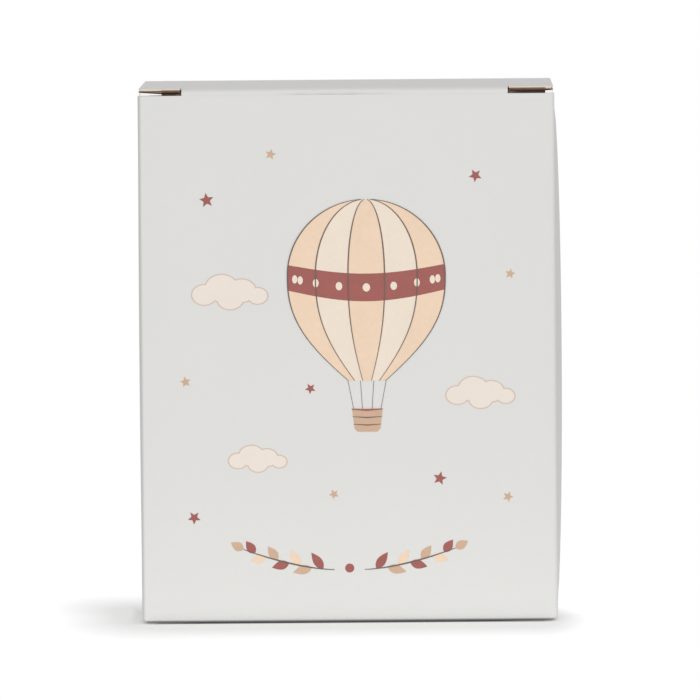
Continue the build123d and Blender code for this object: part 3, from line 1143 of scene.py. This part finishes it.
def tuck_crease():
    """The lid's front fold: its outer liner is pressed flush over the front wall and dented."""
    centre = (FOLD_Y, TOP - BOARD)
    ends = (TUCK_LEFT, TUCK_RIGHT)
    flush, lip, lip_height = FOLD_FLUSH, FRONT_TOP + 0.00001, 0.0004
    core_radius, core_board = 0.00045, 0.0004
    turns = [turn * pi / 24 for turn in range(1, 13)]
    shoulder = [(FOLD_Y - (FOLD_Y - flush) * sin(turn), TOP - BOARD + BOARD * cos(turn)) for turn in turns]
    plate = centre[0] - BOARD * cos(TUCK_LEAN), centre[1] - BOARD * sin(TUCK_LEAN)
    lap = plate[0] + 1.8 * LAP * sin(TUCK_LEAN), plate[1] - 1.8 * LAP * cos(TUCK_LEAN)
    profile = [(FOLD_Y + LAP, TOP), (FOLD_Y, TOP)] + shoulder
    profile += [(flush, lip + lip_height), (flush, lip), (-HALF_DEPTH + BOARD + 0.0003, lip), lap]
    outer = ribbon("tuck_fold_outer", ends, 48, profile, (0, 0, 1))
    dent, dent_middle, dent_half = 0.0004, -0.003, 0.017
    dent_start, dent_run, ripple = TOP - 0.0004, 0.0012, 900.0
    for vertex in outer.data.vertices:
        low = min(1.0, max(0.0, (dent_start - vertex.co.z) / dent_run))
        middle = max(0.0, 1 - (abs(vertex.co.x - dent_middle) / dent_half) ** 4)
        if vertex.co.y < -INNER_DEPTH:
            vertex.co.y += dent * low * middle * (0.8 + 0.2 * sin(vertex.co.x * ripple))
    paint(outer, printed_with_shade, cream_edge, kraft)
    thicken(outer)
    angle = pi / 2 + TUCK_LEAN
    inside = arc(centre, core_radius, pi / 2, pi / 2 + angle, 8)
    first = (inside[0][0] + LAP, inside[0][1])
    last = (inside[-1][0] + LAP * sin(TUCK_LEAN), inside[-1][1] - LAP * cos(TUCK_LEAN))
    core = ribbon("tuck_fold_core", ends, 1, [first] + inside + [last], (0, 0, 1))
    paint(core, fluting, fluting, kraft)
    thicken(core, core_board)
    piece = join("tuck_crease", [outer, core])
    smooth(piece, 50.0)
    half_turn = pi / 2 + angle / 2
    middle = Vector((0, centre[0] + BOARD * cos(half_turn), centre[1] + BOARD * sin(half_turn)))
    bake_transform(piece)


static = [front_board(), back_board(), side_board("right_board", 1), side_board("left_board", -1)]
static += [glue_board(), bottom_long_board("bottom_front_board", "bottom_front_flap", False)]
static.append(bottom_long_board("bottom_back_board", "bottom_back_flap", True))
static += [bottom_short_board("bottom_right_board", 1), bottom_short_board("bottom_left_board", -1)]
static += [insert_platform(), insert_leg("insert_right_board", 1), insert_leg("insert_left_board", -1)]
for piece in static:
    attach(piece, "carton")
print_on_front()
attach(pot_base(), "pot")
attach(pot_cap(), "pot_cap")
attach(lid_board(), "lid")
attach(tuck_board(), "tuck")
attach(dust_board("right_dust_board", 1), "right_dust")
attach(dust_board("left_dust_board", -1), "left_dust")
lid_crease()
lid_hinge_liner("lid_hinge_liner", "lid")
lid_hinge_liner("back_hinge_liner", "carton")
tuck_crease()
dust_crease("right_dust_crease", 1)
dust_crease("left_dust_crease", -1)


# Stage, camera and light


def floor_distance(tree, middle, half, stretch, lean=0.0):
    """Distance from a rectangle on the floor, scaled along X and Y. Lean slants its sides at the back."""
    place = add(tree, "TexCoord")
    moved = vectors(tree, "SUBTRACT", {1: (*middle, 0.0)})
    parts = add(tree, "SeparateXYZ")
    behind = maths(tree, "MAXIMUM", {1: 0.0})
    slanted = maths(tree, "MULTIPLY_ADD", {1: lean})
    turned = add(tree, "CombineXYZ")
    size = vectors(tree, "ABSOLUTE")
    past = vectors(tree, "SUBTRACT", {1: (*half, 0.0)})
    outside = vectors(tree, "MAXIMUM", {1: (0.0, 0.0, 0.0)})
    scaled = vectors(tree, "MULTIPLY", {1: (*stretch, 0.0)})
    away = vectors(tree, "LENGTH")
    wire(
        tree,
        (place, "Object", moved, 0), (moved, 0, parts, 0),
        (parts, "Y", behind, 0), (behind, 0, slanted, 0),
        (parts, "X", slanted, 2), (slanted, 0, turned, "X"),
        (parts, "Y", turned, "Y"), (turned, 0, size, 0),
        (size, 0, past, 0), (past, 0, outside, 0),
        (outside, 0, scaled, 0), (scaled, 0, away, 0),
    )
    return away.outputs["Value"]


def studio():
    """A white floor that keeps the box's shadow and turns to plain white a little way off. The shadow's
    reach is painted by the mask that whitens the floor, the dark patch beneath the box is a painted contact
    shadow, and a glow near the box is painted light on its lower walls.
    """
    bpy.ops.mesh.primitive_plane_add(size=6, location=(0, 0, 0))
    ground = named("studio_floor")
    material, tree, surface = shader("studio_white")
    tune(surface, {"Roughness": 1.0, "Specular IOR Level": 0.0})
    link = tree.links.new
    contact_shadow_reach = floor_distance(tree, (0.0, 0.0), (HALF_WIDTH - 0.004, HALF_DEPTH), (0.6, 1.0))
    near = floor_distance(tree, (0.0, 0.0), (HALF_WIDTH, HALF_DEPTH), (1.0, 1.0))
    left = floor_distance(tree, (-0.0507, -0.014), (0.0007, 0.009), (2.1, 0.8), 0.17)
    right = floor_distance(tree, (0.0, -0.019), (0.05, 0.014), (4.2, 1.0), 0.2)
    rays = add(tree, "LightPath")
    unseen = maths(tree, "SUBTRACT", {0: 1.0})
    painted_bounce_light = maths(tree, "MULTIPLY")
    glow = add(tree, "Emission")
    total = add(tree, "AddShader")
    closer = maths(tree, "MINIMUM")
    least = maths(tree, "MAXIMUM")
    seen = maths(tree, "MULTIPLY")
    white = add(tree, "Emission")
    mixed = add(tree, "MixShader")
    # Beneath the box's edges the floor's colour goes nearly black: a painted contact shadow.
    link(ramp(tree, contact_shadow_reach, 0.0003, 0.0026, 0.05, 0.92), surface.inputs["Base Color"])
    # Near the box the floor glows for every ray but the camera's: painted light on the box's lower walls.
    link(ramp(tree, near, 0.0, 0.12, 0.24, 0.0), painted_bounce_light.inputs[1])
    # Away from the box the camera sees the floor mixed towards plain white. This mask keeps the rendered
    # shadow further out on the left than on the right, and near the box mixes in some white, so the shadow's
    # reach and depth are painted.
    link(left, closer.inputs[0])
    link(right, closer.inputs[1])
    link(ramp(tree, closer.outputs[0], 0.0, 0.052, 0.0, 1.0), least.inputs[0])
    link(ramp(tree, near, 0.0008, 0.004, 0.0, 0.4), least.inputs[1])
    wire(
        tree,
        (rays, "Is Camera Ray", unseen, 1), (unseen, 0, painted_bounce_light, 0),
        (painted_bounce_light, 0, glow, "Strength"), (surface, 0, total, 0),
        (glow, 0, total, 1), (least, 0, seen, 0),
        (rays, "Is Camera Ray", seen, 1), (seen, 0, mixed, 0),
        (total, 0, mixed, 1), (white, 0, mixed, 2),
        (mixed, 0, tree.nodes["Material Output"], "Surface"),
    )
    paint(ground, material)


def sky():
    world = bpy.data.worlds.new("studio_sky")
    bpy.context.scene.world = world
    world.use_nodes = True
    tree = world.node_tree
    tree.nodes.clear()
    seen = add(tree, "Background", {"Color": (1, 1, 1, 1), "Strength": 1.0})
    lit = add(tree, "Background", {"Color": (1, 0.99, 0.985, 1), "Strength": 0.67})
    rays = add(tree, "LightPath")
    either = maths(tree, "MAXIMUM")
    all_three = maths(tree, "MAXIMUM")
    mixed = add(tree, "MixShader")
    out = add(tree, "OutputWorld")
    wire(
        tree,
        (rays, "Is Camera Ray", either, 0), (rays, "Is Glossy Ray", either, 1),
        (either, 0, all_three, 0), (rays, "Is Transmission Ray", all_three, 1),
        (all_three, 0, mixed, 0), (lit, 0, mixed, 1),
        (seen, 0, mixed, 2), (mixed, 0, out, "Surface"),
    )


def softbox(name, place, target, size, power):
    bpy.ops.object.light_add(type="AREA", location=place)
    lamp = named(name)
    lamp.data.shape = "RECTANGLE"
    lamp.data.size, lamp.data.size_y = size
    lamp.data.energy = power
    lamp.rotation_euler = (Vector(target) - Vector(place)).to_track_quat("-Z", "Y").to_euler()


def camera(place, lens, yaw, pitch, roll):
    """A camera turned by its yaw, its downward pitch and its roll."""
    ahead = Vector((-sin(yaw) * cos(pitch), cos(yaw) * cos(pitch), -sin(pitch)))
    right = Vector((cos(yaw), sin(yaw), 0))
    up = right.cross(ahead)
    across = right * cos(roll) + up * sin(roll)
    upwards = up * cos(roll) - right * sin(roll)
    bpy.ops.object.camera_add(location=place)
    eye = named("photo_camera")
    eye.data.sensor_width = 36.0
    eye.data.lens = lens
    eye.data.clip_end = 20.0
    eye.rotation_euler = Matrix((across, upwards, -ahead)).transposed().to_euler()
    bpy.context.scene.camera = eye


studio()
sky()
softbox("front_softbox", (0.0725, -2.9, 0.408), (0, 0, 0.06), (1.3, 0.72), 25.0)
camera((0.0211, -2.8, 0.2254), 538.96, radians(0.426), radians(3.1736), radians(-0.471))
bpy.context.scene.view_settings.view_transform = "Standard"
